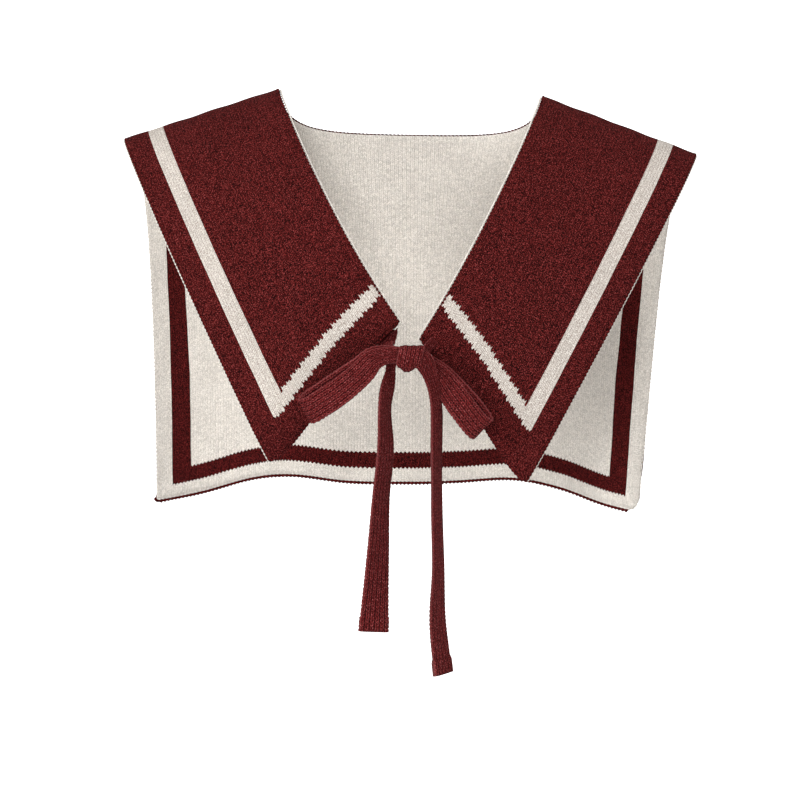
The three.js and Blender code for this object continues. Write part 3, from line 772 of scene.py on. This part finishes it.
# The tails leave the knot's mouth, turn down beside it and hang. Each ends in a narrow hem where the
# strap is folded double and sewn. Rows: down in tail lengths, out, forward and width in strap widths,
# and turn away from the front in degrees.
tail_hem = 0.011
seam_width = 0.0009
seam_groove = 0.5
hem_flare = 0.05
hem_step = 0.001
tail_stations = 226
tail_tables = {
    "left": [(0.17, 0.88, -0.06, 0.9, -62), (0.34, 0.86, -0.1, 1, -56), (0.51, 1.02, -0.08, 1, -54),
             (0.68, 1.11, 0, 1, -44), (0.84, 1.2, 0, 1, -30), (1, 1.29, 0, 1, -8)],
    "right": [(0.13, 0.92, 0.4, 0.58, -48), (0.32, 0.95, 0.2, 0.9, -66), (0.49, 0.97, 0.05, 1, -68),
              (0.66, 1.02, 0, 1, -66), (0.83, 1.0, 0, 1, -56), (1, 1.2, 0.05, 1, -52)],
}
# Inside the knot and beside it: out in knot widths, up in knot heights, forward and width in strap
# widths, and turn.
tail_mouths = {
    "left": [(0.12, 0, 0, 0.35, 0), (0.52, 0, 0, 0.35, 0), (0.73, -0.27, -0.03, 0.35, 0),
             (0.78, -0.62, -0.03, 0.4, -20)],
    "right": [(0.12, 0.3, 0, 0.35, 0), (0.3, 0.16, 0, 0.5, 0), (0.57, -0.15, 0.16, 0.68, -8),
              (0.84, -0.8, 0.34, 0.47, -22)],
}
left.update(tail_length=0.181, tail_layer=2, tail_flat=0.190)
right.update(tail_length=0.209, tail_layer=0, tail_flat=0.220)


def turned_strap(side, along, turn):
    """The direction across a strap in the plane of the chest, turned about the way it runs."""
    plane = side["sign"] * points_of(-along[:, 2], 0, along[:, 0])
    dot = (along * plane).sum(axis=1)[:, None]
    turn = turn[:, None]
    return plane * np.cos(turn) + np.cross(along, plane) * np.sin(turn) + along * dot * (1 - np.cos(turn))


def add_tail(name, side, folds):
    """A strap out of the knot and down. It doubles its thickness over the hem, and thins by a bell
    curve where the hem is sewn."""
    table = tail_tables[name]
    forward = layer_forward(side["tail_layer"])
    places, sizes = [], []
    for out, up, ahead, wide, turn in tail_mouths[name]:
        places.append(bow_point(side, out * knot_width, up * knot_height, forward + ahead * strap_width))
        sizes.append((wide * strap_width, strap_thick, turn))
    for down, out, ahead, wide, turn in table:
        places.append(bow_point(side, out * strap_width, -down * side["tail_length"], ahead * strap_width))
        sizes.append((wide * strap_width, strap_thick, turn))
    middle, along, width, thick, turn = stations(places, sizes, tail_stations)
    to_end = np.linalg.norm(middle - middle[-1], axis=1)
    into_hem = tail_hem - to_end
    seam = np.exp(-((into_hem / seam_width) ** 2))
    thick = thick * (1 + smooth(into_hem / hem_step + 0.5)) * (1 - seam_groove * seam)
    width = width * (1 + hem_flare * smooth(into_hem / (2 * hem_step)))
    across = turned_strap(side, along, turn)
    piece = strap("tail_knit_" + name, "bow_tail_" + name, middle, along, across, width, thick, folds)


add_tail("left", left, gathers(1, 0.0004, 0.030))
add_tail("right", right, gathers(6, 0.0012, 0.036))

# The leads run from the back of the knot up to the lapels, pass under their lower edges and are sewn
# flat behind them. Rows: out in knot widths, up in knot heights, back as a share of the way to the
# lapel, width in strap widths, and turn in degrees.
lead_tables = {
    "left": [(0.80, 0.2, 0.3, 0.5, 25), (0.95, 0.5, 0.95, 0.66, 50)],
    "right": [(0.70, 0.34, 0.2, 0.34, 20), (0.98, 0.62, 0.6, 0.36, 45)],
}
seam_length = 0.013
seam_turn = 66
near_by = 0.01


def add_lead(name, side):
    """A strap from the knot's back up behind the lapel, where it lies flat for the length of its seam."""
    edge = np.linalg.norm(inner_corner(side) - lapel_tip(side))
    across = 1 - (0.5 * gathered + wall) / edge
    depth = (wall + strap_thick) / 2 + 2 * strap_gap
    length = np.linalg.norm(lapel(side, across, 0) - lapel(side, across, 1))
    start = -layer_forward(3)
    places, sizes = mouth_rows(side, 3)
    for out, up, back, wide, turn in lead_tables[name]:
        shift = mix(start, knot_proud + depth, back)
        places.append(bow_point(side, out * knot_width, up * knot_height, -shift))
        sizes.append((wide * strap_width, strap_thick, turn))
    for sewn in (0, seam_length):
        down = 1 - sewn / length
        here = lapel(side, across, down)
        above = lapel(side, across, down - near_by) - here
        beside = lapel(side, across - near_by, down) - here
        normal = np.cross(above, beside)
        normal *= np.sign(normal[1]) / np.linalg.norm(normal)
        places.append(here + depth * normal)
        sizes.append((gathered, strap_thick, seam_turn))
    middle, along, width, thick, turn = stations(places, sizes, 16 * len(places) + 1)
    across = points_of(-side["sign"] * np.sin(turn), 0, np.cos(turn))
    return strap("lead_knit_" + name, "tie_lead_" + name, middle, along, across, width, thick)


leads = [add_lead("left", left), add_lead("right", right)]

# The knot is a strap wound once round the others, so from the front it is a soft block with round
# shoulders. It is narrower where it turns under, and it bulges over the layers inside.
knot_turns = 97
knot_power = 3.2
knot_crown = (-0.0003, 0.0008)
knot_tuck = 0.0024
crease_height = 0.00025
turn = np.linspace(0, 2 * pi, knot_turns)
deep, high = -np.cos(turn), np.sin(turn)
reach = (np.abs(deep) ** knot_power + np.abs(high) ** knot_power) ** (-1 / knot_power)
half_deep = (knot_thick - strap_thick) / 2
half_high = (knot_height - strap_thick) / 2
knot_y = deep * reach * half_deep
knot_z = high * reach * half_high
knot_out = points_of(0, np.sign(deep) * np.abs(deep) ** (knot_power - 1) / half_deep,
                     np.sign(high) * np.abs(high) ** (knot_power - 1) / half_high)
knot_out /= np.linalg.norm(knot_out, axis=1)[:, None]
knot_middle = bow_middle + points_of(knot_slant * knot_z / knot_height, knot_y, knot_z)
knot_way = np.concatenate([[0], np.cumsum(np.linalg.norm(np.diff(knot_middle, axis=0), axis=1))])
knot_share = np.concatenate([across_flat, across_flat[-2:0:-1]])[None]
knot_face = np.repeat([1.0, -1.0], [len(across_flat), len(across_flat) - 2])[None]
under = (1 - high) / 2
crown = mix(*knot_crown, smooth(2 * under))[:, None]
tuck = knot_tuck * (smooth(2 * under - 1) * (np.abs(high) > np.abs(deep)))[:, None]
knot_lift = knot_face * np.sqrt(1 - knot_share**6) * strap_thick / 2
knot_lift = knot_lift + crown * (1 - knot_share**2) - tuck * knot_share**4
crease = np.cos(3.4 * pi * knot_share + 60 * knot_way[:, None]) * (knot_face > 0)
knot_lift = knot_lift + crease_height * crease
knot_wide = mix(1.02, 0.5, smooth(2.6 * under - 1.7))[:, None] * knot_share * knot_width / 2
knot_points = knot_middle[:, None] + knot_out[:, None] * knot_lift[..., None]
knot_points = knot_points - points_of(knot_wide, 0, 0)
knot_index = np.arange(knot_points[:-1, :, 0].size).reshape(knot_turns - 1, -1)
knot_index = np.concatenate([knot_index, knot_index[:1]])
knot_index = np.concatenate([knot_index, knot_index[:, :1]], axis=1)
knot_uv = points_of((knot_share + 1) / 2 * strap_width, knot_way[:-1, None], 0)[..., :2]
knot = make_piece("knot_knit", knot_points[:-1].reshape(-1, 3), cells_of(knot_index),
                  knot_uv.reshape(-1, 2), [tie_knit])
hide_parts("bow_knot")

# The floor and the backdrop are one pale sweep well below the collar, and the light is soft. Sweep and
# sky glow more for the camera than on the cloth: each glow is the extra for the camera, then the base.
paper_glow = (0.85, 0.1)
sky_glow = (0.84, 0.18)
floor_level = -0.62
sweep_bend = 1.2
sweep_turn = np.linspace(0, pi / 2, 13)
sweep_y = np.concatenate([[-4.0, 0.5], 1.5 + sweep_bend * np.sin(sweep_turn), [1.5 + sweep_bend]])
sweep_z = np.concatenate([[0, 0], sweep_bend * (1 - np.cos(sweep_turn)), [4.5]]) + floor_level
sweep_x = np.array([-5.0, 5.0])
sweep_points = points_of(sweep_x[:, None], sweep_y[None], sweep_z[None])
sweep_index = np.arange(sweep_points[..., 0].size).reshape(sweep_points.shape[:2])
sweep_mesh = bpy.data.meshes.new("floor")
sweep_mesh.from_pydata(sweep_points.reshape(-1, 3).tolist(), [], cells_of(sweep_index)[:, ::-1].tolist())
sweep_mesh.polygons.foreach_set("use_smooth", np.ones(len(sweep_mesh.polygons), bool))
pale = bpy.data.materials.new("pale paper")
pale.use_nodes = True
pale_shader = pale.node_tree.nodes["Principled BSDF"]
pale_shader.inputs["Base Color"].default_value = (0.95, 0.95, 0.95, 1)
pale_shader.inputs["Roughness"].default_value = 0.9
pale_shader.inputs["Emission Color"].default_value = (1, 1, 1, 1)
seen = pale.node_tree.nodes.new("ShaderNodeLightPath").outputs["Is Camera Ray"]
glow = calc(pale.node_tree, "MULTIPLY_ADD", seen, *paper_glow)
pale.node_tree.links.new(glow, pale_shader.inputs["Emission Strength"])
sweep_mesh.materials.append(pale)
floor = bpy.data.objects.new("floor", sweep_mesh)
scene.collection.objects.link(floor)

scene.world = bpy.data.worlds.new("studio")
scene.world.use_nodes = True
sky = scene.world.node_tree.nodes["Background"]
sky.inputs["Color"].default_value = (1, 1, 1, 1)
seen = scene.world.node_tree.nodes.new("ShaderNodeLightPath").outputs["Is Camera Ray"]
glow = calc(scene.world.node_tree, "MULTIPLY_ADD", seen, *sky_glow)
scene.world.node_tree.links.new(glow, sky.inputs["Strength"])
scene.view_settings.view_transform = "Standard"
collar_middle = (0, 0, -0.2)


def soft_light(name, place, size, power):
    """A square light that looks at the middle of the collar."""
    light = bpy.data.lights.new(name, "AREA")
    light.shape = "SQUARE"
    light.size = size
    light.energy = power
    lamp = bpy.data.objects.new(name, light)
    lamp.location = place
    way = np.subtract(collar_middle, place)
    lamp.rotation_euler = (np.arctan2(np.hypot(way[0], way[1]), -way[2]), 0, np.arctan2(-way[0], way[1]))
    scene.collection.objects.link(lamp)


soft_light("key light", (1.0, -1.0, 1.8), 1.5, 44)
soft_light("side light", (-2.0, -1.2, 0.2), 0.5, 28)
soft_light("front light", (-0.55, -2.3, 0.4), 0.6, 25)
